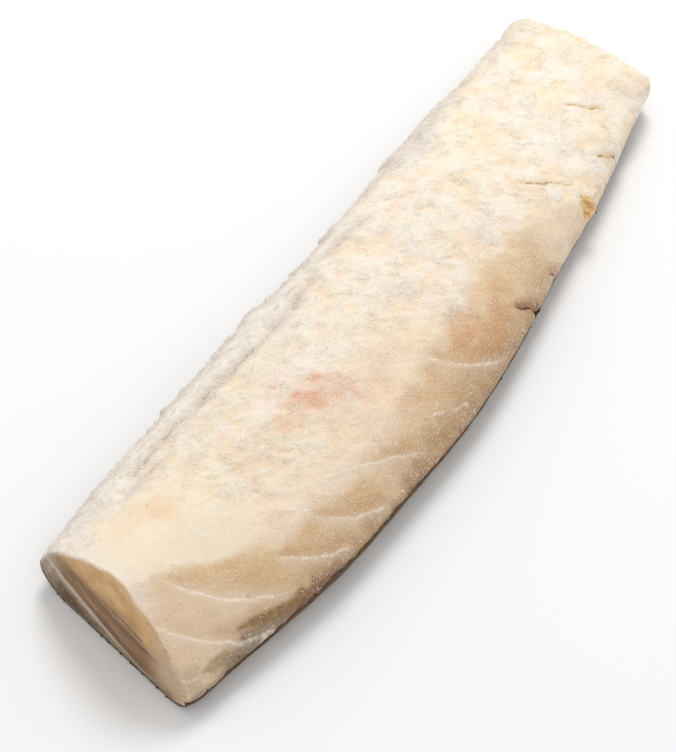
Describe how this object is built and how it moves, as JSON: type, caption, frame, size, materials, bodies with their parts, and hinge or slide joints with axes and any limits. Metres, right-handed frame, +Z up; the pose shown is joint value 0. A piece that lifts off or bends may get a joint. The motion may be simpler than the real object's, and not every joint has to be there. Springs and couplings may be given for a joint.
{
  "type": "salted dried cod",
  "caption": "Thick oblong loin of salted, dried cod with flaky back slope, furrowed belly side, cut ends and dark skin underneath.",
  "frame": {"origin": "centre of the bounding box's base, on the flat underside of the skin", "axes": "+X along the length towards the thinner end, +Y towards the belly side, +Z up from the skin to the crown of the flesh"},
  "size_m": [0.2996, 0.0866, 0.036],
  "materials": {
    "flesh": "dry salted fish flesh, cream and tan, rough on the plateau and slightly translucent on the flake slope",
    "skin": "dried fish skin, dark brown-grey, slightly glossy"
  },
  "bodies": {
    "root": {"flesh": "flesh", "skin": "skin"}
  },
  "joints": []
}
